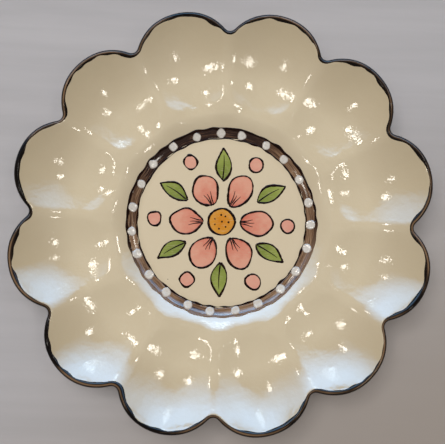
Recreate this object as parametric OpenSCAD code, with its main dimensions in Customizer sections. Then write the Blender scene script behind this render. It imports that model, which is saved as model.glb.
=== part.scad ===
// Scalloped ceramic platter with a ring of egg wells round a flat, painted centre.
// Millimetres, +Z up. The origin is the centre of the foot ring's underside, on the table.
// One cast, glazed body carries thin layers of fired decoration, each a solid of its own.

/* [Rim] */
// Diameter over two opposite lobe tips
tip_d = 294; // [270:1:320]
// How far the notches reach in from the circle of the lobe tips
notch_depth = 14.5; // [10:0.5:18]
// Number of lobes, one for each egg well
lobe_count = 12; // [10:1:14]
// Radius of the rounded bottom of a notch
notch_fillet = 5; // [3:0.5:8]
// Height of the lobe tips above the table
rim_h = 36; // [32:0.5:40]
// How far the rim dips at a notch
notch_dip = 2.5; // [0:0.5:5]

/* [Wells] */
// Height of the well floors above the table
well_z = 14.5; // [9:0.5:16]
// Slope of the outer wall at the lip, in degrees
wall_tilt = 41; // [37:0.5:51]
// Share of a well's level length that curves up into the outer wall
bend_share = 0.72; // [0.4:0.01:0.8]
// Width of the land between the crest and the wells' inner ends
land_w = 2.5; // [1.5:0.25:6]
// Height of the ridges over the well floors, beside the deepest point
ridge_rise = 6.5; // [4:0.5:12]
// Height over which two wells melt into the rounded ridge between them
ridge_blend = 5; // [3:0.5:12]
// Height over which a well melts into the land round the centre
land_blend = 1.75; // [1:0.25:5]

/* [Centre] */
// Radius of the flat floor
floor_r = 60.7; // [56:0.1:65]
// Height of the flat floor above the table
floor_z = 10; // [9:0.5:12]
// Width of the hollow curve that rises from the floor
cove_w = 7.8; // [7:0.1:9]
// Width of the round shoulder above that curve
shoulder_w = 10; // [5:0.25:11]
// Height of the crest over the floor
crest_rise = 7.2; // [4:0.1:8]

/* [Shell] */
// Thickness of the cast wall
wall_t = 4; // [3.25:0.25:5.5]
// Width of the foot ring
foot_w = 6; // [4:0.5:8]
// Radius where the foot ring runs into the underside
foot_fillet = 1.5; // [1:0.25:2.5]
// Bevel on the foot ring's lower edges
foot_bevel = 1; // [0.5:0.25:1.5]

/* [Fired bands] */
// Thickness of a fired layer of colour
film_t = 0.3; // [0.2:0.05:0.5]
// How far the rim colour runs onto each face of the wall
rim_reach = 0.6; // [0.4:0.1:3]
// Width of the lines that border the band
line_w = 1.1; // [0.8:0.1:1.5]
// Number of dots on the band
dot_count = 23; // [18:1:24]
// Diameter of a dot
dot_d = 6.2; // [4.5:0.1:6.8]
// Height of a dot
dot_h = 0.8; // [0.7:0.05:1.2]

/* [Flower] */
// Number of petals, leaves and buds
petal_count = 6; // [5:1:7]
// Width of the flower's brushed outlines
outline_w = 1.6; // [1:0.1:2]
// Radius of the flower's eye
eye_r = 9.5; // [7:0.5:11]
// Length of a petal
petal_l = 24; // [19:0.5:27]
// Width of a petal
petal_w = 18.5; // [15:0.5:20]
// Place of a leaf's foot along the petals beside it
leaf_foot_share = 0.68; // [0.6:0.01:0.8]
// Gap between the point of a leaf and the edge of the floor
leaf_gap = 7; // [5:0.5:14]
// Width of a leaf
leaf_w = 11; // [8:0.5:13]
// Place of a bud's middle between the petal tips and the edge of the floor
bud_share = 0.47; // [0.4:0.01:0.55]
// Diameter of a bud
bud_d = 10; // [8:0.5:11]

/* [Hidden] */
$fn = 96;
// Gap between a turned layer and the faceted wall that it lies on
seat_gap = 0.06;
// Overrun of a cut past the face that it leaves
overrun = 0.5;

// Plan of the rim: arcs for the lobes, joined by smaller arcs in the notches
tip_r = tip_d / 2;
notch_r = tip_r - notch_depth;
pitch = 360 / lobe_count;
half = pitch / 2;
fillet_at = notch_r + notch_fillet;
lobe_at = (pow(tip_r + notch_fillet, 2) - pow(fillet_at, 2))
    / (2 * (tip_r + notch_fillet - fillet_at * cos(half)));
lobe_r = tip_r - lobe_at;
lobe_mid = [lobe_at, 0];
fillet_mid = fillet_at * [cos(half), sin(half)];
arc_join = lobe_mid + (fillet_mid - lobe_mid) * lobe_r / (lobe_r + notch_fillet);
join_angle = atan2(arc_join.y, arc_join.x);

// The lip is a half round on the end of the wall, so the wall's upper face ends short of the rim
lip_r = wall_t / 2;
lip_in = lip_r * (1 + sin(wall_tilt));
lip_top = lip_r * (1 - cos(wall_tilt));
wall_end_r = tip_r - lip_in;
wall_end_z = rim_h - lip_top;

// Section through the centre and along a well. The shoulder stays steep and rolls over late, near the crest.
cove_r = floor_r + cove_w;
cove_share = cove_w / (cove_w + shoulder_w);
shoulder_roll = 1.15;
cove_rise_share = shoulder_roll * cove_share / (2 * (1 - cove_share) + shoulder_roll * cove_share);
crest_r = cove_r + shoulder_w;
crest_z = floor_z + crest_rise;
well_in_r = crest_r + land_w;
wall_run = (wall_end_z - well_z) / tan(wall_tilt);
well_level = wall_end_r - wall_run - well_in_r;
wall_curve = 2 * min(bend_share * well_level, wall_run);
well_r = wall_end_r - wall_run - wall_curve / 2;
inner_rad = pow(well_r - well_in_r, 2) / (2 * (crest_z - well_z));

// Hollowness of a well across its length, at its deepest point and at the notch
notch_end = (notch_r - lip_in) * [cos(half), sin(half)];
notch_z = wall_end_z - notch_dip + ridge_blend / 4;
well_flute = pow(well_r * sin(half), 2) / (2 * (ridge_rise + ridge_blend / 4));
notch_flute = pow(notch_end.y, 2) / (2 * (notch_z - wall_rise(notch_end.x)));
flute_gain = (notch_flute - well_flute) / soft_ramp(notch_end.x - well_r, wall_curve);
spur_climb = rim_h + land_blend - crest_z;

// Foot ring, under the crest
foot_out_r = crest_r;
foot_in_r = crest_r - foot_w;
under_floor_z = floor_z - wall_t;

// Places of the points across one lobe, from notch to notch, and of the rings of points
angle_shares = [0, 0.07, 0.15, 0.27, 0.385, 0.5, 0.615, 0.73, 0.85, 0.93];
cove_shares = [0.25, 0.5, 0.75, 1];
shoulder_shares = [0.4, 0.75, 1];
lip_angles = [0, 45, 90, 135, 180];
wall_rings = 11;
under_rings = 8;
ring_crowding = 1.25;
slope_step = wall_t / 50;

angles = [for (lobe = [0:lobe_count - 1], share = angle_shares) pitch * (lobe + share)];

// Decoration on the cove and the floor
cove_points = concat(
    [[floor_r, floor_z]],
    [for (share = cove_shares) let (r = floor_r + cove_w * share) [r, base_z(r)]]
);
dot_r = floor_r + cove_w / 2;
cove_rad = pow(cove_w, 2) / (2 * crest_rise * cove_rise_share);
dot_nest_share = 0.92;
dot_under_rad = cove_rad * dot_nest_share;
dot_edge_z = dot_under(dot_d / 2);
dot_crown = dot_h - dot_edge_z;
dot_over_rad = (pow(dot_d / 2, 2) + pow(dot_crown, 2)) / (2 * dot_crown);
petal_r = eye_r + 2 * outline_w + outline_w / 2;
petal_end = petal_r + petal_l;
leaf_r = petal_r + petal_l * leaf_foot_share;
leaf_l = floor_r - leaf_gap - leaf_r;
bud_r = petal_end + (floor_r - petal_end) * bud_share;
dot_steps = 4;
petal_steps = 14;
petal_bias = 1.2;
leaf_bias = 0.85;

// Rises from 0 with a soft start of the given length, then runs straight with a slope of 1
function soft_ramp(x, start) = x <= 0 ? 0 : x < start ? x * x / (2 * start) : x - start / 2;

// Lesser of two heights, with the corner between them rounded over
function soft_min(a, b, blend) =
    let (near = max(blend - abs(a - b), 0) / blend) min(a, b) - near * near * blend / 4;

// Height of the outer wall along the middle of a well
function wall_rise(x) = well_z + tan(wall_tilt) * soft_ramp(x - well_r, wall_curve);

// A curve that rises from 0 to 1, hollow over the cove and round over the shoulder, with no corner between them
function cove_curve(q) =
    q < cove_share
        ? cove_rise_share * pow(q / cove_share, 2)
        : 1 - (1 - cove_rise_share) * pow((1 - q) / (1 - cove_share), shoulder_roll);

// Height of the floor, the cove, the crest and the spurs that run out between the wells
function base_z(r) =
    r <= floor_r ? floor_z
    : r < crest_r
        ? floor_z + crest_rise * cove_curve((r - floor_r) / (crest_r - floor_r))
    : crest_z + spur_climb * pow((r - crest_r) / (norm(notch_end) - crest_r), 2);

// Height of one well, for a point along and across its length
function well_surface(x, y) =
    let (
        along = x < well_r ? well_z + pow(well_r - x, 2) / (2 * inner_rad) : wall_rise(x),
        flute = well_flute + flute_gain * soft_ramp(x - well_r, wall_curve)
    )
    along + y * y / (2 * flute);

// Height of the upper face at a point of the plan
function top_z(p) =
    let (
        r = norm(p),
        turn = (atan2(p.y, p.x) + 360) % pitch,
        own = abs(turn - half),
        next = pitch - own,
        wells = soft_min(
            well_surface(r * cos(own), r * sin(own)),
            well_surface(r * cos(next), r * sin(next)),
            ridge_blend
        )
    )
    soft_min(wells, base_z(r), land_blend);

// Slope of the upper face along X and Y
function slope(p) =
    let (dx = [slope_step, 0], dy = [0, slope_step])
    [top_z(p + dx) - top_z(p - dx), top_z(p + dy) - top_z(p - dy)] / (2 * slope_step);

// Height of the underside, a wall's thickness below the upper face
function under_z(p) = top_z(p) - wall_t * sqrt(1 + slope(p) * slope(p));

function turned(v, angle) = [v.x * cos(angle) - v.y * sin(angle), v.x * sin(angle) + v.y * cos(angle)];

// Point of the rim's plan at an angle, and the direction square to the rim there
function rim_frame(angle) =
    let (
        turn = angle % pitch - half,
        side = turn < 0 ? -1 : 1,
        own = abs(turn),
        rest = half - own,
        r = own < join_angle
            ? lobe_at * cos(own) + sqrt(pow(lobe_r, 2) - pow(lobe_at * sin(own), 2))
            : fillet_at * cos(rest) - sqrt(pow(notch_fillet, 2) - pow(fillet_at * sin(rest), 2)),
        p = r * [cos(own), sin(own)],
        out = own < join_angle ? (p - lobe_mid) / lobe_r : (fillet_mid - p) / notch_fillet,
        axis = angle - turn
    )
    [turned([p.x, side * p.y], axis), turned([out.x, side * out.y], axis)];

function lifted(p, z) = [p.x, p.y, z];

// Points round the lip at one angle: along the upper face, round the edge and back under the wall.
// The colour's outer face lies a film's thickness outside them.
function lip_section(angle, film) =
    let (
        frame = rim_frame(angle),
        out = frame[1],
        edge = frame[0] - lip_in * out,
        inside = edge - rim_reach * out,
        g = slope(edge),
        up = [-g.x, -g.y, 1] / sqrt(1 + g * g),
        along = [out.x, out.y, g * out] / sqrt(1 + pow(g * out, 2)),
        mid = lifted(edge, top_z(edge)) - lip_r * up
    )
    concat(
        [lifted(inside, top_z(inside))],
        [for (a = lip_angles) mid + (lip_r + film) * (up * cos(a) + along * sin(a))],
        [mid - lip_r * up - rim_reach * along]
    );

lip_sections = [for (a = angles) lip_section(a, 0)];
lip_last = len(lip_angles) + 1;

// A ring of points at a fixed radius and height, or at a fixed radius on the upper face
function level_ring(r, z) = [for (a = angles) [r * cos(a), r * sin(a), z]];
function top_ring(r) = [for (a = angles) let (p = r * [cos(a), sin(a)]) lifted(p, top_z(p))];

// The rings that run out over the wells, from the crest to the lip
function wall_ring(share) = [
    for (i = [0:len(angles) - 1])
        let (
            from = crest_r * [cos(angles[i]), sin(angles[i])],
            to = [lip_sections[i][0].x, lip_sections[i][0].y],
            p = from + (to - from) * share
        )
        lifted(p, top_z(p))
];

// The rings that run back under the wells, from the lip to the foot ring
function under_ring(share) = [
    for (i = [0:len(angles) - 1])
        let (
            from = [lip_sections[i][lip_last].x, lip_sections[i][lip_last].y],
            to = (foot_out_r + foot_fillet) * [cos(angles[i]), sin(angles[i])],
            p = from + (to - from) * share
        )
        lifted(p, under_z(p))
];

body_rings = concat(
    [level_ring(floor_r, floor_z)],
    [for (share = cove_shares) top_ring(floor_r + cove_w * share)],
    [for (share = shoulder_shares) top_ring(cove_r + shoulder_w * share)],
    [for (j = [1:wall_rings]) wall_ring(pow(j / wall_rings, ring_crowding))],
    [for (k = [1:lip_last]) [for (section = lip_sections) section[k]]],
    [for (j = [1:under_rings]) under_ring(j / under_rings)],
    [
        level_ring(foot_out_r, under_z([foot_out_r, 0]) - foot_fillet),
        level_ring(foot_out_r, foot_bevel),
        level_ring(foot_out_r - foot_bevel, 0),
        level_ring(foot_in_r + foot_bevel, 0),
        level_ring(foot_in_r, foot_bevel),
        level_ring(foot_in_r, under_floor_z - foot_fillet),
        level_ring(foot_in_r - foot_fillet, under_floor_z)
    ]
);

// Faces between two rings of n points each, the first point of each ring being given. A layer that lies on
// the body runs over its rings the other way, and there each four-sided patch is cut along the other diagonal.
function strip(a, b, n, back = false) = [
    for (i = [0:n - 1])
        let (k = (i + 1) % n)
        each back
            ? [[a + i, a + k, b + i], [a + k, b + k, b + i]]
            : [[a + i, b + k, b + i], [a + i, a + k, b + k]]
];

// The cast body: wells, rim, wall and foot ring in one piece
module platter_body() {
    n = len(angles);
    last = len(body_rings) - 1;
    points = concat([for (ring = body_rings) each ring], [[0, 0, floor_z], [0, 0, under_floor_z]]);
    top_mid = n * len(body_rings);
    under_mid = top_mid + 1;
    faces = concat(
        [for (i = [0:n - 1]) [top_mid, (i + 1) % n, i]],
        [for (ring = [0:last - 1]) each strip(ring * n, (ring + 1) * n, n)],
        [for (i = [0:n - 1]) [under_mid, last * n + i, last * n + (i + 1) % n]]
    );
    color([0.82, 0.75, 0.64]) polyhedron(points, faces);
}

// The dark colour that wraps the lip all round, thinning out to nothing at its two borders
module rim_band() {
    n = len(angles);
    outer = [for (a = angles) lip_section(a, film_t)];
    points = concat(
        [for (k = [0:lip_last]) each [for (section = outer) section[k]]],
        [for (k = [1:lip_last - 1]) each [for (section = lip_sections) section[k]]]
    );
    back = n * (lip_last + 1);
    loop = concat(
        [for (k = [0:lip_last]) k * n],
        [for (k = [lip_last - 2:-1:0]) back + k * n],
        [0]
    );
    faces = [for (k = [0:len(loop) - 2]) each strip(loop[k], loop[k + 1], n, k >= lip_last)];
    color([0.16, 0.1, 0.08]) polyhedron(points, faces);
}

// A turned layer of colour on the cove, between two radii
module cove_layer(from, to) {
    inner = concat([from], [for (p = cove_points) if (p.x > from && p.x < to) p.x], [to]);
    count = len(inner);
    lower = [for (r = inner) [r, lookup(r, cove_points) + seat_gap]];
    upper = [for (i = [count - 1:-1:0]) [inner[i], lower[i].y + film_t]];
    rotate_extrude() polygon(concat(lower, upper));
}

module medallion_band() {
    color([0.5, 0.39, 0.3]) cove_layer(floor_r + line_w, cove_r - line_w);
}

module band_inner_line() {
    color([0.17, 0.1, 0.08]) cove_layer(floor_r, floor_r + line_w);
}

module band_outer_line() {
    color([0.17, 0.1, 0.08]) cove_layer(cove_r - line_w, cove_r);
}

// One raised dot: a lens whose lower face nests in the hollow of the cove
function dot_under(x) = dot_under_rad - sqrt(pow(dot_under_rad, 2) - x * x);
function dot_over(x) = dot_h - dot_over_rad + sqrt(pow(dot_over_rad, 2) - x * x);

module dot() {
    across = [for (i = [0:dot_steps]) dot_d / 2 * i / dot_steps];
    rotate_extrude()
        polygon(concat(
            [for (x = across) [x, dot_under(x)]],
            [for (i = [dot_steps - 1:-1:0]) [across[i], dot_over(across[i])]]
        ));
}

module band_dots() {
    tilt = atan2(base_z(dot_r + slope_step) - base_z(dot_r - slope_step), 2 * slope_step);
    seat_z = lookup(dot_r, cove_points) + film_t + 2 * seat_gap;
    color([0.88, 0.86, 0.83])
        for (i = [0:dot_count - 1])
            rotate(360 * i / dot_count) translate([dot_r, 0, seat_z]) rotate([0, -tilt, 0]) dot();
}

// Copies of a flat shape round the flower, as a fired layer on the floor
module painted_ring(start) {
    translate([0, 0, floor_z])
        linear_extrude(film_t)
            for (i = [0:petal_count - 1]) rotate(start + 360 * i / petal_count) children();
}

function even(i) = (1 - cos(180 * i / petal_steps)) / 2;

// Outline of a petal, round at both ends, or of a leaf, pointed at both ends
function petal_half(t) = sqrt(max(sin(180 * pow(t, petal_bias)), 0));
function leaf_half(t) = sin(180 * pow(t, leaf_bias));

module petal_shape(from, length, width) {
    side = [for (i = [0:petal_steps]) [from + length * even(i), width / 2 * petal_half(even(i))]];
    polygon(concat(side, [for (i = [petal_steps - 1:-1:1]) [side[i].x, -side[i].y]]));
}

module leaf_shape(from, length, width) {
    side = [for (i = [0:petal_steps]) [from + length * even(i), width / 2 * leaf_half(even(i))]];
    polygon(concat(side, [for (i = [petal_steps - 1:-1:1]) [side[i].x, -side[i].y]]));
}

module petals() {
    color([0.8, 0.5, 0.42]) painted_ring(0) petal_shape(petal_r, petal_l, petal_w);
}

module petal_outlines() {
    color([0.17, 0.1, 0.08])
        painted_ring(0)
            difference() {
                petal_shape(petal_r - outline_w, petal_l + 2 * outline_w, petal_w + 2 * outline_w);
                petal_shape(petal_r, petal_l, petal_w);
            }
}

module leaves() {
    color([0.5, 0.53, 0.26]) painted_ring(180 / petal_count) leaf_shape(leaf_r, leaf_l, leaf_w);
}

module leaf_outlines() {
    color([0.17, 0.1, 0.08])
        painted_ring(180 / petal_count)
            difference() {
                leaf_shape(leaf_r - 2 * outline_w, leaf_l + 4 * outline_w, leaf_w + 2 * outline_w);
                leaf_shape(leaf_r, leaf_l, leaf_w);
            }
}

module buds() {
    color([0.86, 0.66, 0.58]) painted_ring(0) translate([bud_r, 0]) circle(bud_d / 2);
}

module bud_outlines() {
    color([0.17, 0.1, 0.08])
        painted_ring(0)
            translate([bud_r, 0])
                difference() {
                    circle(bud_d / 2 + outline_w);
                    circle(bud_d / 2);
                }
}

module flower_eye() {
    color([0.8, 0.52, 0.18]) translate([0, 0, floor_z]) cylinder(h = film_t, r = eye_r);
}

module eye_outline() {
    color([0.17, 0.1, 0.08])
        translate([0, 0, floor_z])
            difference() {
                cylinder(h = film_t, r = eye_r + outline_w);
                translate([0, 0, -overrun]) cylinder(h = film_t + 2 * overrun, r = eye_r);
            }
}

platter_body();
rim_band();
medallion_band();
band_inner_line();
band_outer_line();
band_dots();
flower_eye();
eye_outline();
petals();
petal_outlines();
leaves();
leaf_outlines();
buds();
bud_outlines();
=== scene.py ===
"""Looks of the scalloped egg platter: glazed body, brushed rim, dotted band and a painted flower.

The platter's lengths are in millimetres and become metres when a mesh is made. Table, lamps and camera are
in metres.
"""

import math

import bpy
import numpy as np
from mathutils import Matrix, Vector


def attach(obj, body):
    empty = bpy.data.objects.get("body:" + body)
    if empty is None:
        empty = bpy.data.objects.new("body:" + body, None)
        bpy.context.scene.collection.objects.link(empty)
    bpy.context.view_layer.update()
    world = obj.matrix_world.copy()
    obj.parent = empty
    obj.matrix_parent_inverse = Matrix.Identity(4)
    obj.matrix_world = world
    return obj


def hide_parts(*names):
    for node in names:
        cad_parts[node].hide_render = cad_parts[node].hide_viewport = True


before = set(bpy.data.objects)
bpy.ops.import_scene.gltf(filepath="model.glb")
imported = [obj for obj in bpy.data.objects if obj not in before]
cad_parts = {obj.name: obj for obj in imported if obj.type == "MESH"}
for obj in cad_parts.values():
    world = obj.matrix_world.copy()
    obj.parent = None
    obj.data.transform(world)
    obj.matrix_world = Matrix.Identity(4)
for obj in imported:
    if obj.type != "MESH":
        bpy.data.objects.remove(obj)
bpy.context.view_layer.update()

MM = 0.001
TURN = 2 * math.pi
rng = np.random.default_rng(11)

# Sizes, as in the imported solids
LOBES = 12
TIP_R, NOTCH_R, NOTCH_FILLET = 147.0, 132.5, 5.0
RIM_H = 36.0
FLOOR_R, FLOOR_Z, COVE_W, SHOULDER_W, LAND_W = 60.7, 10.0, 7.8, 10.0, 2.5
WALL_T, FOOT_W, FOOT_FILLET, FOOT_BEVEL = 4.0, 6.0, 1.5, 1.0
EYE_R, PETALS, PETAL_L, PETAL_W, OUTLINE_W = 9.5, 6, 24.0, 18.5, 1.6
PETAL_GAP_LINES = 2.5
LEAF_FOOT_SHARE, LEAF_GAP, LEAF_W = 0.68, 7.0, 11.0
BUD_SHARE, BUD_D = 0.47, 10.0
DOTS, DOT_D = 23, 6.2

# The fired relief, within 2 mm of the solids: glaze pools in the wells and leaves their edges crisp
CREST_RISE, SHOULDER_ROLL = 6.9, 1.6
NOTCH_DIP, WELL_Z, WALL_TILT, BEND_SHARE = 3.5, 15.65, math.radians(39), 0.74
RIDGE_RISE, RIDGE_BLEND, LAND_BLEND = 4.2, 2.4, 0.8
FLANK_SHARE, FLANK_MIN_X = 0.55, 20.0
# Spurs of the shoulder between the wells: where they grow, as shares of half a lobe and out from the cove
SPUR_LIFT, SPUR_SIDE, SPUR_IN, SPUR_OUT = 1.8, (0.3, 0.9), 3.0, 16.0
# Edges of the wells: where they grow, as shares of half a lobe
EDGE_DROP, EDGE_RUN, EDGE_SIDE = 0.5, 0.3, (0.15, 0.6)

# The hand's work: slow waves in the clay, and a rim that is slightly longer one way than across
WAVE_COUNT, WAVE_PER_MM, WAVE_H, ANY_PHASE = 9, (0.05, 0.2), (0.03, 0.075), 6.28
OVAL_SHARE, OVAL_WAY = 0.008, math.radians(61)

# Derived sizes
PITCH = TURN / LOBES
HALF = PITCH / 2
HALF_WAY = np.array([math.cos(HALF), math.sin(HALF)])
FILLET_AT = NOTCH_R + NOTCH_FILLET
LOBE_REACH = TIP_R + NOTCH_FILLET
LOBE_AT = (LOBE_REACH**2 - FILLET_AT**2) / (2 * (LOBE_REACH - FILLET_AT * math.cos(HALF)))
LOBE_R = TIP_R - LOBE_AT
LOBE_MID = np.array([LOBE_AT, 0.0])
FILLET_MID = FILLET_AT * HALF_WAY
ARC_JOIN = LOBE_MID + (FILLET_MID - LOBE_MID) * LOBE_R / (LOBE_R + NOTCH_FILLET)
JOIN_ANGLE = math.atan2(ARC_JOIN[1], ARC_JOIN[0])
LIP_R = WALL_T / 2
LIP_IN = LIP_R * (1 + math.sin(WALL_TILT))
WALL_END_R = TIP_R - LIP_IN
WALL_END_Z = RIM_H - LIP_R * (1 - math.cos(WALL_TILT))
COVE_R = FLOOR_R + COVE_W
COVE_SHARE = COVE_W / (COVE_W + SHOULDER_W)
COVE_RISE_SHARE = SHOULDER_ROLL * COVE_SHARE / (2 * (1 - COVE_SHARE) + SHOULDER_ROLL * COVE_SHARE)
CREST_R = COVE_R + SHOULDER_W
CREST_Z = FLOOR_Z + CREST_RISE
WELL_IN_R = CREST_R + LAND_W
WALL_RUN = (WALL_END_Z - WELL_Z) / math.tan(WALL_TILT)
WALL_CURVE = 2 * min(BEND_SHARE * (WALL_END_R - WALL_RUN - WELL_IN_R), WALL_RUN)
WELL_R = WALL_END_R - WALL_RUN - WALL_CURVE / 2
INNER_RAD = (WELL_R - WELL_IN_R) ** 2 / (2 * (CREST_Z - WELL_Z))
NOTCH_END = (NOTCH_R - LIP_IN) * HALF_WAY
FOOT_OUT_R = CREST_R
FOOT_IN_R = CREST_R - FOOT_W
UNDER_FLOOR_Z = FLOOR_Z - WALL_T
PETAL_R = EYE_R + PETAL_GAP_LINES * OUTLINE_W
PETAL_END = PETAL_R + PETAL_L
LEAF_R = PETAL_R + PETAL_L * LEAF_FOOT_SHARE
LEAF_L = FLOOR_R - LEAF_GAP - LEAF_R
BUD_R = PETAL_END + (FLOOR_R - PETAL_END) * BUD_SHARE


# The upper face
def soft_ramp(x, start):
    return np.where(x <= 0, 0.0, np.where(x < start, x * x / (2 * start), x - start / 2))


def soft_min(a, b, blend):
    near = np.maximum(blend - np.abs(a - b), 0) / blend
    return np.minimum(a, b) - near * near * blend / 4


def smooth_step(x, start, end):
    q = np.clip((x - start) / (end - start), 0, 1)
    return q * q * (3 - 2 * q)


def wall_rise(x):
    return WELL_Z + math.tan(WALL_TILT) * soft_ramp(x - WELL_R, WALL_CURVE)


NOTCH_RISE = WALL_END_Z - NOTCH_DIP + RIDGE_BLEND / 4 - float(wall_rise(NOTCH_END[0]))
WELL_FLUTE = (WELL_R * math.sin(HALF)) ** 2 / (2 * (RIDGE_RISE + RIDGE_BLEND / 4))
NOTCH_FLUTE = NOTCH_END[1] ** 2 / (2 * NOTCH_RISE)
FLUTE_GAIN = (NOTCH_FLUTE - WELL_FLUTE) / float(soft_ramp(NOTCH_END[0] - WELL_R, WALL_CURVE))
SPUR_CLIMB = RIM_H + LAND_BLEND - CREST_Z


def base_z(r):
    """Floor, cove and shoulder, which climbs on past its crest."""
    q = np.clip((r - FLOOR_R) / (CREST_R - FLOOR_R), 0, 1)
    cove = COVE_RISE_SHARE * (q / COVE_SHARE) ** 2
    shoulder = 1 - (1 - COVE_RISE_SHARE) * ((1 - q) / (1 - COVE_SHARE)) ** SHOULDER_ROLL
    z = FLOOR_Z + CREST_RISE * np.where(q < COVE_SHARE, cove, shoulder)
    return z + SPUR_CLIMB * (np.maximum(r - CREST_R, 0) / (np.hypot(*NOTCH_END) - CREST_R)) ** 2


def well_surface(x, y):
    """One well and its outer wall, with the lobe's middle along X."""
    along = np.where(x < WELL_R, WELL_Z + (WELL_R - x) ** 2 / (2 * INNER_RAD), wall_rise(x))
    half = np.maximum(x, FLANK_MIN_X) * math.tan(HALF)
    bow = (np.sqrt(1 + (y / half / FLANK_SHARE) ** 2) - 1) / (math.sqrt(1 + 1 / FLANK_SHARE**2) - 1)
    return along + bow * half * half / (2 * (WELL_FLUTE + FLUTE_GAIN * soft_ramp(x - WELL_R, WALL_CURVE)))


# Each wave's vector per millimetre, phase and height
WAVES = [
    (rng.uniform(*WAVE_PER_MM) * np.array([math.cos(a), math.sin(a)]), rng.uniform(0, ANY_PHASE), h)
    for a, h in zip(rng.uniform(0, ANY_PHASE, WAVE_COUNT), rng.uniform(*WAVE_H, WAVE_COUNT))
]


def ripple(x, y):
    return sum(h * np.sin(k[0] * x + k[1] * y + p) for k, p, h in WAVES)


def top_z(x, y):
    """Height of the upper face."""
    r = np.hypot(x, y)
    own = np.abs(np.mod(np.arctan2(y, x), PITCH) - HALF)
    own_well, next_well = (well_surface(r * np.cos(a), r * np.sin(a)) for a in (own, PITCH - own))
    wells = soft_min(own_well, next_well, RIDGE_BLEND)
    # The shoulder rolls on into the spurs between the wells
    side = own / HALF
    spur = smooth_step(side, *SPUR_SIDE) * smooth_step(r, COVE_R + SPUR_IN, COVE_R + SPUR_OUT)
    land = base_z(r) + SPUR_LIFT * spur
    # The edges are crisp beside the wells and fade at their inner ends
    drop = EDGE_DROP * smooth_step(side, *EDGE_SIDE)
    z = soft_min(wells + drop, land, LAND_BLEND)
    return z - drop * (1 - np.exp((z - land) / EDGE_RUN)) + ripple(x, y)


def slope(x, y, step=0.08):
    return (
        (top_z(x + step, y) - top_z(x - step, y)) / (2 * step),
        (top_z(x, y + step) - top_z(x, y - step)) / (2 * step),
    )


def under_z(x, y):
    gx, gy = slope(x, y)
    return top_z(x, y) - WALL_T * np.sqrt(1 + gx * gx + gy * gy)


def normal_at(x, y):
    gx, gy = slope(x, y)
    n = np.stack([-gx, -gy, np.ones_like(gx)], -1)
    return n / np.linalg.norm(n, axis=-1, keepdims=True)


def rim_frame(angle):
    """Points of the rim's plan and the directions square to it."""
    turn = np.mod(angle, PITCH) - HALF
    side = np.where(turn < 0, -1.0, 1.0)
    own = np.abs(turn)
    rest = HALF - own
    lobe = own < JOIN_ANGLE
    r = np.where(
        lobe,
        LOBE_AT * np.cos(own) + np.sqrt(np.maximum(LOBE_R**2 - (LOBE_AT * np.sin(own)) ** 2, 0)),
        FILLET_AT * np.cos(rest) - np.sqrt(np.maximum(NOTCH_FILLET**2 - (FILLET_AT * np.sin(rest)) ** 2, 0)),
    )
    p = r[:, None] * np.stack([np.cos(own), np.sin(own)], 1)
    out = np.where(lobe[:, None], (p - LOBE_MID) / LOBE_R, (FILLET_MID - p) / NOTCH_FILLET)
    c, s = np.cos(angle - turn), np.sin(angle - turn)

    def place(v):
        y = side * v[:, 1]
        return np.stack([v[:, 0] * c - y * s, v[:, 0] * s + y * c], 1)

    return place(p), place(out)


# Places of the points round the platter, closer together near the notches
PER_LOBE, NOTCH_CROWD = 42, 0.55
steps = np.arange(PER_LOBE) / PER_LOBE
shares = steps - NOTCH_CROWD * np.sin(TURN * steps) / TURN
ANGLES = (np.arange(LOBES)[:, None] + shares[None, :]).ravel() * PITCH
COUNT = len(ANGLES)
ROUND = np.column_stack([np.cos(ANGLES), np.sin(ANGLES)])

# The lip, half round about a line that follows the wall's edge
RIM_P, RIM_OUT = rim_frame(ANGLES)
EDGE = RIM_P - LIP_IN * RIM_OUT
EDGE_Z = top_z(EDGE[:, 0], EDGE[:, 1])
EDGE_UP = normal_at(EDGE[:, 0], EDGE[:, 1])
gx, gy = slope(EDGE[:, 0], EDGE[:, 1])
EDGE_ALONG = np.column_stack([RIM_OUT, gx * RIM_OUT[:, 0] + gy * RIM_OUT[:, 1]])
EDGE_ALONG /= np.linalg.norm(EDGE_ALONG, axis=1, keepdims=True)
LIP_MID = np.column_stack([EDGE, EDGE_Z]) - LIP_R * EDGE_UP


def lip_point(a, lift=0.0):
    """Ring of points round the lip at an angle from the upper face, lifted off it."""
    return LIP_MID + (LIP_R + lift) * (EDGE_UP * np.cos(a) + EDGE_ALONG * np.sin(a))


def flat_ring(r, z):
    return np.column_stack([r * ROUND, np.full(COUNT, float(z))])


def top_ring(r):
    return np.column_stack([r * ROUND, top_z(*(r * ROUND).T)])


def between(start, end, share, height):
    p = start + (end - start) * share
    return np.column_stack([p, height(p[:, 0], p[:, 1])])


# Meshes
def hand_formed(verts):
    """The rim as pressed by hand: slightly longer one way than across, with a true centre."""
    v = np.array(verts, float)
    r, a = np.hypot(v[:, 0], v[:, 1]), np.arctan2(v[:, 1], v[:, 0])
    v[:, :2] *= (1 + OVAL_SHARE * np.cos(2 * (a - OVAL_WAY)) * smooth_step(r, CREST_R, TIP_R))[:, None]
    return v


def new_mesh(name, verts, faces, attributes):
    """A smooth-shaded object from millimetres, with point attributes for its material."""
    mesh = bpy.data.meshes.new(name)
    mesh.from_pydata((hand_formed(verts) * MM).tolist(), [], faces)
    mesh.update()
    mesh.polygons.foreach_set("use_smooth", [True] * len(mesh.polygons))
    for key, values in attributes.items():
        layer = mesh.attributes.new(key, "FLOAT", "POINT")
        layer.data.foreach_set("value", np.asarray(values, np.float32))
    obj = bpy.data.objects.new(name, mesh)
    bpy.context.scene.collection.objects.link(obj)
    return obj


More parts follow.
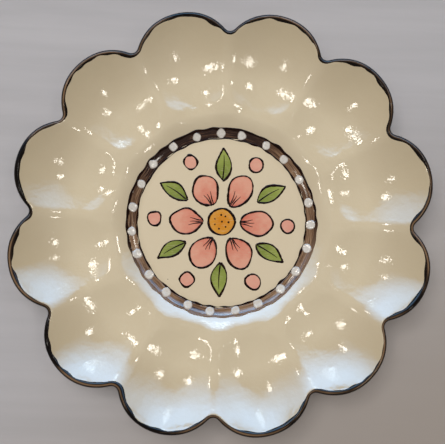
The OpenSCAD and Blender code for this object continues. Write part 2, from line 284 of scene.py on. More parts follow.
def ring_faces(rings, n, closed_loop=False):
    """Quads between successive rings of n points, facing up where the rings widen."""
    i = np.arange(n)
    k = (i + 1) % n
    pairs = [(a, a + 1) for a in range(rings - 1)] + ([(rings - 1, 0)] if closed_loop else [])
    faces = []
    for a, b in pairs:
        faces += np.column_stack([a * n + i, b * n + i, b * n + k, a * n + k]).tolist()
    return faces


# The glazed body: rings from the middle of the floor over the lip to the middle of the underside
FLOOR_RINGS = (6.0, 14.0, 24.0, 34.0, 44.0, 53.0, 59.0, FLOOR_R)
UNDER_RINGS = (58.0, 40.0, 20.0, 6.0)
COVE_STEPS, SHOULDER_STEPS, WELL_STEPS, LIP_STEPS, UNDER_STEPS, FOOT_STEPS = 9, 10, 70, 12, 26, 4
WELL_CROWD, FOOT_SIDE_Z = 1.1, 3.0
POOL_STEP, POOL_GAIN = 2.0, 6.0


def quarter_turn():
    return [math.pi / 2 * i / FOOT_STEPS for i in range(FOOT_STEPS + 1)]


def make_body():
    rings = [top_ring(r) for r in FLOOR_RINGS]
    rings += [top_ring(FLOOR_R + COVE_W * i / COVE_STEPS) for i in range(1, COVE_STEPS + 1)]
    rings += [top_ring(COVE_R + SHOULDER_W * i / SHOULDER_STEPS) for i in range(1, SHOULDER_STEPS + 1)]
    well_shares = [(i / WELL_STEPS) ** WELL_CROWD for i in range(1, WELL_STEPS + 1)]
    rings += [between(CREST_R * ROUND, EDGE, share, top_z) for share in well_shares]
    rings += [lip_point(math.pi * i / LIP_STEPS) for i in range(1, LIP_STEPS + 1)]
    last = LIP_MID - LIP_R * EDGE_UP
    foot = (FOOT_OUT_R + FOOT_FILLET) * ROUND
    rings += [between(last[:, :2], foot, i / UNDER_STEPS, under_z) for i in range(1, UNDER_STEPS + 1)]
    # The foot ring: fillet, outer side, two bevelled edges, and the fillet inside
    start = rings[-1][:, 2]
    for a in quarter_turn()[1:]:
        ring = flat_ring(FOOT_OUT_R + FOOT_FILLET * (1 - math.sin(a)), 0)
        ring[:, 2] = start - FOOT_FILLET * (1 - math.cos(a))
        rings.append(ring)
    rings.append(flat_ring(FOOT_OUT_R, FOOT_SIDE_Z))
    for a in quarter_turn():
        rings.append(flat_ring(FOOT_OUT_R - FOOT_BEVEL * (1 - math.cos(a)), FOOT_BEVEL * (1 - math.sin(a))))
    for a in quarter_turn()[::-1]:
        rings.append(flat_ring(FOOT_IN_R + FOOT_BEVEL * (1 - math.cos(a)), FOOT_BEVEL * (1 - math.sin(a))))
    for a in quarter_turn():
        z = UNDER_FLOOR_Z - FOOT_FILLET * (1 - math.sin(a))
        rings.append(flat_ring(FOOT_IN_R - FOOT_FILLET * (1 - math.cos(a)), z))
    rings += [flat_ring(r, UNDER_FLOOR_Z) for r in UNDER_RINGS]
    middle = float(top_z(np.array(0.0), np.array(0.0)))
    verts = np.vstack(rings + [[[0, 0, middle], [0, 0, UNDER_FLOOR_Z]]])
    faces = ring_faces(len(rings), COUNT)
    end = len(rings) * COUNT
    base = end - COUNT
    faces += [[end, i, (i + 1) % COUNT] for i in range(COUNT)]
    faces += [[end + 1, base + (i + 1) % COUNT, base + i] for i in range(COUNT)]
    # How hollow the upper face is and how ridged, for the glaze's colour: partly glaze that pools and runs
    # thin, partly painted shade and sheen
    x, y, d = verts[:, 0], verts[:, 1], POOL_STEP
    hollowness = (top_z(x + d, y) + top_z(x - d, y) + top_z(x, y + d) + top_z(x, y - d) - 4 * top_z(x, y)) / d**2
    return new_mesh("glazed_body", verts, faces, {"hollowness": np.clip(hollowness * POOL_GAIN, -1, 1)})


def film_point(x, y, lift):
    """Points lifted square off the upper face."""
    return np.stack([x, y, top_z(x, y)], -1) + np.asarray(lift)[..., None] * normal_at(x, y)


def loop(count):
    """Angles once round."""
    return np.arange(count) * TURN / count


def noise_round(seed, terms, low=2):
    """A smooth random curve round a closed loop, about -1 to 1, of an angle."""
    g = np.random.default_rng(seed)
    k = np.arange(low, low + terms)
    a = g.normal(size=terms) / np.sqrt(terms)
    p = g.uniform(0, TURN, terms)
    return lambda t: (a[:, None] * np.sin(np.outer(k, np.atleast_1d(t)) + p[:, None])).sum(0)


# The brushed rim: a film round the lip, with uneven borders and thin where it starts and ends.
# Where it starts and ends is counted from the lip's first and last line: mean, swing and limits.
RIM_START, RIM_START_SWING, RIM_START_LIMITS = -0.15, 1.2, (-1.2, 0.9)
RIM_BACK, RIM_BACK_SWING, RIM_BACK_LIMITS = 1.8, 0.8, (0.4, 3.2)
RIM_FILM, RIM_STEPS, RIM_CORE = 0.18, 16, -1.0
# Shares of the way to the full film, with the lift there
RIM_FEATHER = ((0.0, -0.02), (0.12, 0.1), (0.45, 0.16), (0.75, 0.17))
RIM_TAIL, RIM_TAIL_ACROSS = ((0.5, 0.15), (1.0, -0.02)), 0.3


def make_rim():
    wave = 0.5 * noise_round(3, 30, 6)(ANGLES) + 0.35 * noise_round(4, 60, 30)(ANGLES)
    start = np.clip(RIM_START - RIM_START_SWING * wave, *RIM_START_LIMITS)
    back = np.clip(RIM_BACK + RIM_BACK_SWING * noise_round(5, 40, 6)(ANGLES), *RIM_BACK_LIMITS)
    first = RIM_STEPS // 4
    bend = LIP_R * math.pi * first / RIM_STEPS

    def section(s, lift):
        flat = EDGE + np.minimum(s, 0)[:, None] * RIM_OUT
        lip = lip_point(np.maximum(s, 0)[:, None] / LIP_R, lift)
        return np.where((s < 0)[:, None], film_point(flat[:, 0], flat[:, 1], np.full(COUNT, lift)), lip)

    rings, across = [], []
    for share, lift in RIM_FEATHER:
        s = start + (bend - start) * share
        rings.append(section(s, lift))
        across.append(s / (math.pi * LIP_R))
    for i in range(first, RIM_STEPS + 1):
        rings.append(lip_point(math.pi * i / RIM_STEPS, RIM_FILM))
        across.append(np.full(COUNT, i / RIM_STEPS))
    for share, lift in RIM_TAIL:
        rings.append(LIP_MID - (LIP_R + lift) * EDGE_UP - (back * share)[:, None] * EDGE_ALONG)
        across.append(np.full(COUNT, 1 + RIM_TAIL_ACROSS * share))
    rings.append(lip_point(math.pi / 2, RIM_CORE))
    across.append(np.full(COUNT, 0.5))
    faces = ring_faces(len(rings), COUNT, closed_loop=True)
    return new_mesh("rim_brush", np.vstack(rings), faces, {"across": np.concatenate(across)})


# Strips of colour on the cove, with uneven borders
STRIP_POINTS, STRIP_SINK, STRIP_CORE = 480, -0.03, -0.3


def make_strip(name, inner, outer, lift, seed, wobble, columns):
    n, a = STRIP_POINTS, loop(STRIP_POINTS)
    r0 = inner + wobble * noise_round(seed, 40, 3)(a)
    r1 = outer + wobble * noise_round(seed + 1, 40, 3)(a)
    rows = [(i / (columns - 1), lift if 0 < i < columns - 1 else STRIP_SINK) for i in range(columns)]
    rows.append((0.5, STRIP_CORE))
    rings = []
    for share, rise in rows:
        r = r0 + (r1 - r0) * share
        rings.append(film_point(r * np.cos(a), r * np.sin(a), np.full(n, rise)))
    faces = ring_faces(len(rings), n, closed_loop=True)
    return new_mesh(name, np.vstack(rings), faces, {"across": np.repeat([share for share, _ in rows], n)})


# Films of colour: rings as shares of the outline with their lift, and the lift of the underside
WASH_FILM, WASH_SINK = [(0.99, 0.1), (0.95, 0.17), (0.8, 0.2), (0.55, 0.21), (0.28, 0.21)], -0.04
DOT_FILM, DOT_SINK = [(0.97, 0.28), (0.86, 0.42), (0.6, 0.52), (0.3, 0.56)], 0.1
SPOT_FILM = [(0.97, 0.28), (0.7, 0.36), (0.3, 0.38)]
STROKE_LIFT, STROKE_SINK, PETAL_VEIN_LIFT, LEAF_VEIN_LIFT = 0.24, -0.04, 0.34, 0.36


def blob(points, mid, film, floor_lift):
    """A domed film over a closed outline: rings that shrink to its middle, and an underside."""
    n = len(points)
    rings = []
    for share, lift in film:
        p = mid + (points - mid) * share
        rings.append(film_point(p[:, 0], p[:, 1], np.full(n, lift)))
    top = film_point(mid[:1], mid[1:], np.array([film[-1][1]]))
    under = film_point(points[:, 0], points[:, 1], np.full(n, floor_lift))
    low = film_point(mid[:1], mid[1:], np.array([floor_lift]))
    verts = np.vstack([under] + rings + [top, low])
    faces = [f[::-1] for f in ring_faces(len(rings) + 1, n)]
    first = n * (len(rings) + 1)
    last = n * len(rings)
    faces += [[first, last + i, last + (i + 1) % n] for i in range(n)]
    faces += [[first + 1, (i + 1) % n, i] for i in range(n)]
    edge = np.concatenate([np.zeros(n)] + [np.full(n, 1 - share) for share, _ in film] + [[1.0], [1.0]])
    return verts, faces, edge


def stroke(points, width, lift):
    """A brushed line along points, of a width that varies, with a round crown."""
    d = np.gradient(points, axis=0)
    d /= np.linalg.norm(d, axis=1, keepdims=True)
    side = np.column_stack([-d[:, 1], d[:, 0]])
    half_section = [(0.3, lift), (0.82, 0.75 * lift), (1, STROKE_SINK)]
    section = [(-s, h) for s, h in half_section[::-1]] + half_section
    lines = []
    for s, h in section:
        p = points + side * (s * width / 2)[:, None]
        lines.append(film_point(p[:, 0], p[:, 1], np.full(len(p), h)))
    n, m = len(section), len(points)
    faces = []
    for i in range(m - 1):
        for j in range(n):
            q = (j + 1) % n
            faces.append([i * n + j, (i + 1) * n + j, (i + 1) * n + q, i * n + q])
    faces += [list(range(n)), list(range((m - 1) * n, m * n))[::-1]]
    return np.stack(lines, 1).reshape(-1, 3), faces


class Group:
    """Collects the meshes of one piece."""

    def __init__(self):
        self.verts, self.faces, self.data, self.count = [], [], {}, 0

    def add(self, verts, faces, **data):
        self.faces += [[v + self.count for v in f] for f in faces]
        self.verts.append(verts)
        self.count += len(verts)
        for key, values in data.items():
            self.data.setdefault(key, []).append(np.broadcast_to(values, (len(verts),)))

    def wash(self, outline, mid, tone, reach=None):
        """A film of colour, which knows its distance from its edge and from the flower's middle."""
        verts, faces, edge = blob(outline, mid, WASH_FILM, WASH_SINK)
        reach = np.hypot(verts[:, 0], verts[:, 1]) if reach is None else reach
        self.add(verts, faces, edge=edge, reach=reach, tone=tone)

    def stroke(self, points, width, lift=STROKE_LIFT):
        self.add(*stroke(points, width, lift))

    def make(self, name):
        data = {key: np.concatenate(values) for key, values in self.data.items()}
        return new_mesh(name, np.vstack(self.verts), self.faces, data)


def jitter(size, count=None):
    """A random number either side of zero, or several."""
    return rng.uniform(-size, size, count)


# The white dots, set by hand: not quite round, evenly spaced or alike.
# How far they stray: share of a step round, millimetres out, sizes as shares, and waves of the outline.
DOT_POINTS, DOT_SEED, DOT_TURN, DOT_OUT = 28, 50, 0.09, (-0.35, 0.45)
DOT_SIZE, DOT_WIDE, DOT_DEEP, DOT_WAVE = (1.04, 1.18), (0.92, 1.05), 0.93, 0.05


def make_dots():
    group = Group()
    t = loop(DOT_POINTS)
    for i in range(DOTS):
        a = TURN * (i + jitter(DOT_TURN)) / DOTS
        r = FLOOR_R + COVE_W / 2 + rng.uniform(*DOT_OUT)
        size = DOT_D / 2 * rng.uniform(*DOT_SIZE) * (1 + DOT_WAVE * noise_round(DOT_SEED + i, 3)(t))
        ring_r = r + size * np.cos(t) * DOT_DEEP
        ring_a = a + size * np.sin(t) * rng.uniform(*DOT_WIDE) / r
        outline = np.column_stack([ring_r * np.cos(ring_a), ring_r * np.sin(ring_a)])
        mid = r * np.array([math.cos(a), math.sin(a)])
        verts, faces, edge = blob(outline, mid, DOT_FILM, DOT_SINK)
        group.add(verts, faces, edge=edge, tone=rng.uniform())
    return group.make("dot_enamel")


# The painted flower
BRUSH_SLOW, BRUSH_QUICK, BRUSH_LIMITS, BRUSH_TAPER, BRUSH_TIP = 0.28, 0.12, (0.8, 2.5), 0.03, 0.25
OUTLINE_POINTS = 72


def brush_width(n, seed, mean=OUTLINE_W):
    """Widths along a brushed line, uneven and tapered at both ends."""
    t = np.linspace(0, TURN, n)
    uneven = BRUSH_SLOW * noise_round(seed, 4, 1)(t) + BRUSH_QUICK * noise_round(seed + 1, 14, 8)(t)
    s = np.linspace(0, 1, n)
    taper = np.clip(np.minimum(s, 1 - s) / BRUSH_TAPER, BRUSH_TIP, 1)
    return np.clip(mean * (1 + uneven), *BRUSH_LIMITS) * taper


def turned(p, a):
    c, s = math.cos(a), math.sin(a)
    return np.column_stack([p[:, 0] * c - p[:, 1] * s, p[:, 0] * s + p[:, 1] * c])


def leaf_outline(start, length, width, bias, sharp):
    """Closed outline along +X: a petal, round at both ends, or a leaf, pointed at both ends."""
    t = np.linspace(0, 1, OUTLINE_POINTS // 2 + 1)
    t = (1 - np.cos(math.pi * t)) / 2
    h = np.clip(np.sin(math.pi * t**bias), 0, None)
    up = np.column_stack([start + length * t, width / 2 * (h if sharp else np.sqrt(h))])
    down = up[-2:0:-1] * [1, -1]
    return np.vstack([up, down])


def wobbly(points, seed, size):
    """The outline as a hand draws it."""
    d = points - points.mean(0)
    d /= np.maximum(np.linalg.norm(d, axis=1, keepdims=True), 1e-6)
    return points + d * (size * noise_round(seed, 5, 1)(loop(len(points))))[:, None]


PETAL_BIAS, PETAL_MID, LEAF_BIAS, LEAF_MID = 1.2, 0.56, 0.85, 0.45
PETAL_SEED, LEAF_SEED, BUD_SEED, EYE_SEED, SPOT_SEED = 100, 300, 500, 700, 740
PETAL_LINE_SEED, LEAF_LINE_SEED, BUD_LINE_SEED, EYE_LINE_SEED = 200, 400, 600, 720
LEAF_LINE_W, BUD_LINE_W, EYE_LINE_W = 1.5, 1.55, 1.75
# How far the hand strays: radians round, millimetres of the wash off its outline, sizes as shares, and waves
PETAL_TURN, PETAL_SHIFT, PETAL_LONG, PETAL_WIDE, PETAL_WAVE = 0.04, 0.35, (0.96, 1.03), (0.94, 1.03), 0.5
LEAF_TURN, LEAF_SHIFT, LEAF_LONG, LEAF_WIDE, LEAF_WAVE = 0.04, 0.3, (0.95, 1.03), (0.92, 1.04), 0.3
BUD_TURN, BUD_SHIFT, BUD_SIZE, BUD_WIDE, BUD_WAVE = 0.03, 0.3, (0.93, 1.05), (0.96, 1.1), 0.05
LEAF_BOW, BUD_OUT, EYE_WAVE = (0.4, 1.2), (-0.8, 0.6), 0.02
# Washes as shares of their outlines
PETAL_FILL, BUD_FILL, EYE_FILL = [1.0, 0.97], 0.99, 0.985
# Points by which an outline laps over its start, and how far outside
PETAL_LAP, LEAF_LAP, BUD_LAP, EYE_LAP, BUD_LAP_OUT, EYE_LAP_OUT = 3, 2, 4, 4, 1.02, 1.015
BUD_POINTS, EYE_POINTS, SPOT_POINTS, PETAL_VEIN_POINTS, LEAF_VEIN_POINTS = 44, 64, 18, 14, 24
# Fine strokes from a petal's foot: leans, distance from the eye, length, random length, spread and sway
PETAL_VEINS, PETAL_VEIN_AT, PETAL_VEIN_L, PETAL_VEIN_MORE = (-0.16, 0.02, 0.17), 4.6, 7.5, 3.0
PETAL_VEIN_SPREAD, PETAL_VEIN_SWAY, PETAL_VEIN_BENDS = 1.1, 0.25, 5
# A leaf's vein: distance from the leaf's foot, and its length and bend as shares of the leaf's
LEAF_VEIN_AT, LEAF_VEIN_SHARE, LEAF_VEIN_BEND = 1.0, 0.74, 0.78
# Widths along the veins: shares of the length, and the widths there
PETAL_VEIN_WIDTHS = [0, 0.3, 1], [0.7, 1.1, 0.4]
LEAF_VEIN_WIDTHS = [0, 0.1, 0.6, 1], [0.9, 1.3, 0.9, 0.4]
# Dark spots in the eye: one near its middle, the others round it, by radius and angle
MID_SPOT, SPOTS, SPOT_R, SPOT_STEP = (0.3, 0.4), 7, 5.2, 0.9
SPOT_OUT, SPOT_TURN, SPOT_SIZE, SPOT_WAVE, SPOT_LONG = 0.5, 0.15, (0.55, 0.8), 0.08, 1.15


def add_petal(parts, i):
    a = TURN * i / PETALS + jitter(PETAL_TURN)
    long, wide = PETAL_L * rng.uniform(*PETAL_LONG), PETAL_W * rng.uniform(*PETAL_WIDE)
    shape = wobbly(leaf_outline(PETAL_R, long, wide, PETAL_BIAS, False), PETAL_SEED + i, PETAL_WAVE)
    fill = turned(shape * PETAL_FILL + jitter(PETAL_SHIFT, 2), a)
    mid = turned(np.array([[PETAL_R + long * PETAL_MID, 0.0]]), a)[0]
    parts["petals"].wash(fill, mid, rng.uniform())
    line = np.roll(shape, -rng.integers(0, 4), 0)
    line = turned(np.vstack([line, line[:PETAL_LAP]]), a)
    parts["petal_outlines"].stroke(line, brush_width(len(line), PETAL_LINE_SEED + 2 * i))
    s = np.linspace(0, 1, PETAL_VEIN_POINTS)
    for j, lean in enumerate(PETAL_VEINS):
        r = EYE_R + PETAL_VEIN_AT + (PETAL_VEIN_L + PETAL_VEIN_MORE * rng.uniform()) * s
        aside = lean * (r - EYE_R) * PETAL_VEIN_SPREAD + PETAL_VEIN_SWAY * np.sin(PETAL_VEIN_BENDS * s + j)
        vein = turned(np.column_stack([r, aside]), a)
        parts["petal_outlines"].stroke(vein, np.interp(s, *PETAL_VEIN_WIDTHS), PETAL_VEIN_LIFT)


def add_leaf(parts, i):
    a = TURN * (i + 0.5) / PETALS + jitter(LEAF_TURN)
    long, wide = LEAF_L * rng.uniform(*LEAF_LONG), LEAF_W * rng.uniform(*LEAF_WIDE)
    bend = rng.choice([-1, 1]) * rng.uniform(*LEAF_BOW)
    shape = wobbly(leaf_outline(LEAF_R, long, wide, LEAF_BIAS, True), LEAF_SEED + i, LEAF_WAVE)
    u = np.clip((shape[:, 0] - LEAF_R) / long, 0, 1)
    shape = shape + np.column_stack([np.zeros(len(u)), bend * np.sin(math.pi * u)])
    fill = turned(shape + jitter(LEAF_SHIFT, 2), a)
    mid = turned(np.array([[LEAF_R + long * LEAF_MID, bend]]), a)[0]
    parts["leaves"].wash(fill, mid, rng.uniform())
    line = turned(np.vstack([shape, shape[:LEAF_LAP]]), a)
    parts["leaf_outlines"].stroke(line, brush_width(len(line), LEAF_LINE_SEED + 2 * i, LEAF_LINE_W))
    s = np.linspace(0, 1, LEAF_VEIN_POINTS)
    r = LEAF_R + LEAF_VEIN_AT + long * LEAF_VEIN_SHARE * s
    vein = turned(np.column_stack([r, bend * np.sin(math.pi * LEAF_VEIN_BEND * s)]), a)
    parts["leaf_outlines"].stroke(vein, np.interp(s, *LEAF_VEIN_WIDTHS), LEAF_VEIN_LIFT)


def add_bud(parts, i):
    a = TURN * i / PETALS + jitter(BUD_TURN)
    r = BUD_R + rng.uniform(*BUD_OUT)
    t = loop(BUD_POINTS)
    size = BUD_D / 2 * rng.uniform(*BUD_SIZE) * (1 + BUD_WAVE * noise_round(BUD_SEED + i, 3)(t))
    shape = np.column_stack([size * np.cos(t) * rng.uniform(*BUD_WIDE), size * np.sin(t)])
    mid = np.array([r * math.cos(a), r * math.sin(a)])
    fill = turned(shape * BUD_FILL, a) + mid + jitter(BUD_SHIFT, 2)
    parts["buds"].wash(fill, mid, rng.uniform(), reach=0.0)
    line = np.roll(shape, rng.integers(0, BUD_POINTS), 0)
    line = turned(np.vstack([line, line[:BUD_LAP] * BUD_LAP_OUT]), a) + mid
    parts["bud_outlines"].stroke(line, brush_width(len(line), BUD_LINE_SEED + 2 * i, BUD_LINE_W))


def add_eye(parts):
    t = loop(EYE_POINTS)
    r = EYE_R * (1 + EYE_WAVE * noise_round(EYE_SEED, 4)(t))
    shape = np.column_stack([r * np.cos(t), r * np.sin(t)])
    parts["flower_eye"].wash(shape * EYE_FILL, np.zeros(2), 0.5)
    line = np.vstack([shape, shape[:EYE_LAP] * EYE_LAP_OUT])
    parts["eye_outline"].stroke(line, brush_width(len(line), EYE_LINE_SEED, EYE_LINE_W))
    ring = [(SPOT_R + jitter(SPOT_OUT), SPOT_STEP * k + jitter(SPOT_TURN)) for k in range(SPOTS)]
    t = loop(SPOT_POINTS)
    for k, (r, a) in enumerate([MID_SPOT] + ring):
        size = rng.uniform(*SPOT_SIZE) * (1 + SPOT_WAVE * noise_round(SPOT_SEED + k, 3)(t))
        mid = r * np.array([math.cos(a), math.sin(a)])
        outline = mid + np.column_stack([size * np.cos(t), size * np.sin(t) * SPOT_LONG])
        verts, faces, _ = blob(outline, mid, SPOT_FILM, DOT_SINK)
        parts["eye_stipple"].add(verts, faces)


# The flower's nodes and the pieces that show them
FLOWER_PIECES = {
    "flower_eye": "eye_wash",
    "eye_outline": "eye_stroke",
    "eye_stipple": "eye_stipple",
    "petals": "petal_wash",
    "petal_outlines": "petal_strokes",
    "leaves": "leaf_wash",
    "leaf_outlines": "leaf_strokes",
    "buds": "bud_wash",
    "bud_outlines": "bud_strokes",
}


def make_flower():
    parts = {key: Group() for key in FLOWER_PIECES}
    for i in range(PETALS):
        add_petal(parts, i)
        add_leaf(parts, i)
        add_bud(parts, i)
    add_eye(parts)
    return {key: parts[key].make(name) for key, name in FLOWER_PIECES.items()}


# Materials
def linear(r, g, b):
    """Linear colour from 0-255 display values."""
    shown = (c / 255 for c in (r, g, b))
    return tuple(c / 12.92 if c <= 0.04045 else ((c + 0.055) / 1.055) ** 2.4 for c in shown) + (1.0,)


class Tree:
    """A node tree with short ways to add to it."""

    def __init__(self, tree):
        self.tree = tree

    def add(self, kind, inputs=None, **settings):
        node = self.tree.nodes.new(kind)
        for key, value in settings.items():
            setattr(node, key, value)
        for key, value in (inputs or {}).items():
            if isinstance(value, bpy.types.NodeSocket):
                self.tree.links.new(value, node.inputs[key])
            else:
                node.inputs[key].default_value = value
        return node

    def math(self, operation, a, b=0.0, clamp=False):
        return self.add("ShaderNodeMath", {0: a, 1: b}, operation=operation, use_clamp=clamp).outputs[0]

    def weighed(self, a, a_share, b, b_share):
        return self.math("ADD", self.math("MULTIPLY", a, a_share), self.math("MULTIPLY", b, b_share))

    def span(self, value, start, end, kind="LINEAR"):
        """0 at the start to 1 at the end."""
        inputs = {"Value": value, "From Min": start, "From Max": end}
        return self.add("ShaderNodeMapRange", inputs, interpolation_type=kind).outputs[0]

    def dot(self, vector, way):
        return self.add("ShaderNodeVectorMath", {0: vector, 1: way}, operation="DOT_PRODUCT").outputs["Value"]

    def flat(self, vector):
        """The vector without its height."""
        return self.add("ShaderNodeVectorMath", {0: vector, 1: (1, 1, 0)}, operation="MULTIPLY").outputs[0]


class Nodes(Tree):
    """A material's node tree."""

    RAMP_REACH = 150.0

    def __init__(self, name, **inputs):
        self.material = bpy.data.materials.new(name)
        self.material.use_nodes = True
        super().__init__(self.material.node_tree)
        self.shader = self.tree.nodes["Principled BSDF"]
        for key, value in inputs.items():
            self.shader.inputs[key.replace("_", " ")].default_value = value

    def link(self, socket, name):
        self.tree.links.new(socket, self.shader.inputs[name])

    def place(self):
        """Object coordinates in millimetres."""
        coords = self.add("ShaderNodeTexCoord").outputs["Object"]
        in_mm = {0: coords, 1: (1 / MM,) * 3}
        return self.add("ShaderNodeVectorMath", in_mm, operation="MULTIPLY").outputs[0]

    def radius(self, place):
        """Distance from the platter's axis."""
        return self.add("ShaderNodeVectorMath", {0: self.flat(place)}, operation="LENGTH").outputs["Value"]

    def attribute(self, name):
        return self.add("ShaderNodeAttribute", attribute_name=name).outputs["Fac"]

    def lengthwise(self, place, scale, across):
        """Slow along the platter's plan, with a third coordinate of its own across a stroke."""
        axes = self.add("ShaderNodeSeparateXYZ", {"Vector": place})
        x, y = (self.math("MULTIPLY", axes.outputs[k], scale) for k in ("X", "Y"))
        return self.add("ShaderNodeCombineXYZ", {"X": x, "Y": y, "Z": across}).outputs[0]

    def stretched(self, place, scale):
        return self.add("ShaderNodeMapping", {"Vector": place, "Scale": scale}).outputs[0]

    def noise(self, vector, scale, detail=3.0, rough=0.5):
        inputs = {"Vector": vector, "Scale": scale, "Detail": detail, "Roughness": rough}
        return self.add("ShaderNodeTexNoise", inputs).outputs["Fac"]

    def ramp(self, value, *stops):
        """Colour or value stops: (place, colour)."""
        node = self.add("ShaderNodeValToRGB", {"Fac": value})
        band = node.color_ramp.elements
        while len(band) < len(stops):
            band.new(0.5)
        for element, (where, colour) in zip(band, stops):
            element.position = where
            element.color = colour if not isinstance(colour, (int, float)) else (colour, colour, colour, 1)
        return node.outputs["Color"]

    def ramp_mm(self, value, *stops):
        """Value stops: (place in millimetres, value)."""
        value = self.math("MULTIPLY", value, 1 / self.RAMP_REACH)
        return self.ramp(value, *((where / self.RAMP_REACH, share) for where, share in stops))

    def mix(self, share, a, b):
        return self.add("ShaderNodeMix", {0: share, 6: a, 7: b}, data_type="RGBA").outputs[2]

    def bump(self, height, strength, distance):
        node = self.add("ShaderNodeBump", {"Height": height, "Strength": strength, "Distance": distance})
        self.link(node.outputs["Normal"], "Normal")


CREAM = linear(206, 190, 163)
GLAZE_IOR = 1.6
# Across the band, per millimetre: 1 about at its far side, -1 at its near side
FAR_SIDE, NEAR_SIDE = (-0.0026, 0.0149, 0.0), (0.0026, -0.0149, 0.0)
# Between the band's inner and outer line
BAND_MID_R = 65.0


def glaze_material():
    m = Nodes("ivory_glaze", IOR=GLAZE_IOR)
    p = m.place()
    cloud = m.noise(p, 0.022)
    colour = m.ramp(cloud, (0.3, linear(203, 187, 159)), (0.5, CREAM), (0.72, linear(210, 195, 169)))
    # Darker in the hollows and lighter on the ridges: partly glaze that pools and runs thin, partly painted
    # shade in the hollows and a painted sheen on the ridges
    hollowness = m.attribute("hollowness")
    colour = m.mix(m.math("MULTIPLY", hollowness, 0.5, clamp=True), colour, linear(202, 186, 157))
    colour = m.mix(m.math("MULTIPLY", hollowness, -0.45, clamp=True), colour, linear(214, 202, 180))
    # Painted light: lighter over the shoulder and the wells, which face up, and painted shade, greyer, down
    # the steep outer walls
    out = m.radius(p)
    painted_light_share = m.ramp_mm(out, (63.0, 0.0), (81.0, 0.8), (105.0, 0.8), (123.0, 0.0))
    colour = m.mix(painted_light_share, colour, linear(214, 199, 171))
    colour = m.mix(m.ramp_mm(out, (105.0, 0.0), (142.5, 1.0)), colour, linear(194, 178, 150))
    # A paler ground is brushed under the painting, where the glaze is thin and hardly mirrors the room
    colour = m.mix(m.ramp_mm(out, (57.0, 0.8), (64.5, 0.0)), colour, linear(218, 203, 177))
    m.link(m.ramp_mm(out, (58.5, 0.06), (63.0, 0.5)), "Specular IOR Level")
    # A few dark specks of iron in the clay
    cells = m.add("ShaderNodeTexVoronoi", {"Vector": p, "Scale": 0.055, "Randomness": 1.0})
    near = m.math("LESS_THAN", cells.outputs["Distance"], 0.022)
    pick = m.add("ShaderNodeSeparateColor", {"Color": cells.outputs["Color"]}).outputs[0]
    rare = m.math("MULTIPLY", near, m.math("GREATER_THAN", pick, 0.9))
    colour = m.mix(m.math("MULTIPLY", rare, 0.85), colour, linear(58, 42, 32))
    # The foot ring's lower face is wiped free of glaze
    height = m.add("ShaderNodeSeparateXYZ", {"Vector": p}).outputs["Z"]
    wiped = m.math("ADD", height, m.math("MULTIPLY", m.noise(p, 0.25), 0.5))
    bare = m.ramp(wiped, (0.75, 1.0), (0.9, 0.0))
    clay = m.ramp(m.noise(p, 1.6, 6.0, 0.7), (0.3, linear(214, 196, 172)), (0.7, linear(231, 217, 196)))
    m.link(m.mix(bare, colour, clay), "Base Color")
    gloss = m.ramp(m.noise(p, 0.12, 2.0), (0.35, 0.05), (0.7, 0.1))
    m.link(m.mix(bare, gloss, (0.8, 0.8, 0.8, 1)), "Roughness")
    peel = m.math("ADD", m.noise(p, 0.45, 2.0), m.math("MULTIPLY", m.noise(p, 0.12, 1.0), 2.0))
    m.bump(peel, 0.35, 0.00022)
    return m.material


def rim_material():
    m = Nodes("rim_lustre", IOR=1.45, Specular_IOR_Level=0.3)
    p, across = m.place(), m.attribute("across")
    streak = m.noise(m.lengthwise(p, 0.07, m.math("MULTIPLY", across, 5.0)), 1.0, 5.0, 0.6)
    patch = m.noise(m.lengthwise(p, 0.016, 3.0), 1.0, 2.0)
    tone = m.weighed(streak, 0.7, patch, 0.4)
    colour = m.ramp(tone, (0.45, linear(12, 8, 7)), (0.6, linear(24, 15, 11)), (0.8, linear(52, 36, 26)))
    # Bronze along the crest of the lip: partly wear, partly a painted highlight where the lip faces up
    crest = m.math("ABSOLUTE", m.math("SUBTRACT", across, 0.24))
    worn_and_lit_crest = m.ramp(crest, (0.03, 1.0), (0.12, 0.0))
    rubbed_and_lit = m.ramp(m.math("ADD", patch, m.math("MULTIPLY", streak, 0.35)), (0.6, 0.0), (0.76, 0.9))
    m.link(m.mix(m.math("MULTIPLY", worn_and_lit_crest, rubbed_and_lit), colour, linear(132, 104, 78)), "Base Color")
    m.link(m.ramp(streak, (0.3, 0.08), (0.75, 0.2)), "Roughness")
    m.bump(streak, 0.2, 0.0002)
    return m.material


def band_material():
    m = Nodes("band_wash", IOR=GLAZE_IOR)
    p, across = m.place(), m.attribute("across")
    streak = m.noise(m.lengthwise(p, 0.07, m.math("MULTIPLY", across, 9.0)), 1.0, 6.0, 0.65)
    patch = m.noise(m.lengthwise(p, 0.03, 7.0), 1.0, 2.0)
    tone = m.weighed(streak, 0.75, patch, 0.35)
    # Darker towards the far side: partly a fuller brush, partly painted shade
    full = m.math("MAXIMUM", m.dot(p, FAR_SIDE), 0.0)
    tone = m.math("SUBTRACT", tone, m.math("MULTIPLY", full, 0.2))
    colour = m.ramp(
        tone,
        (0.38, linear(44, 26, 20)),
        (0.48, linear(94, 67, 50)),
        (0.6, linear(142, 111, 84)),
        (0.8, linear(174, 149, 122)),
    )
    m.link(colour, "Base Color")
    m.link(m.ramp(streak, (0.3, 0.06), (0.7, 0.14)), "Roughness")
    m.bump(streak, 0.2, 0.0002)
    return m.material


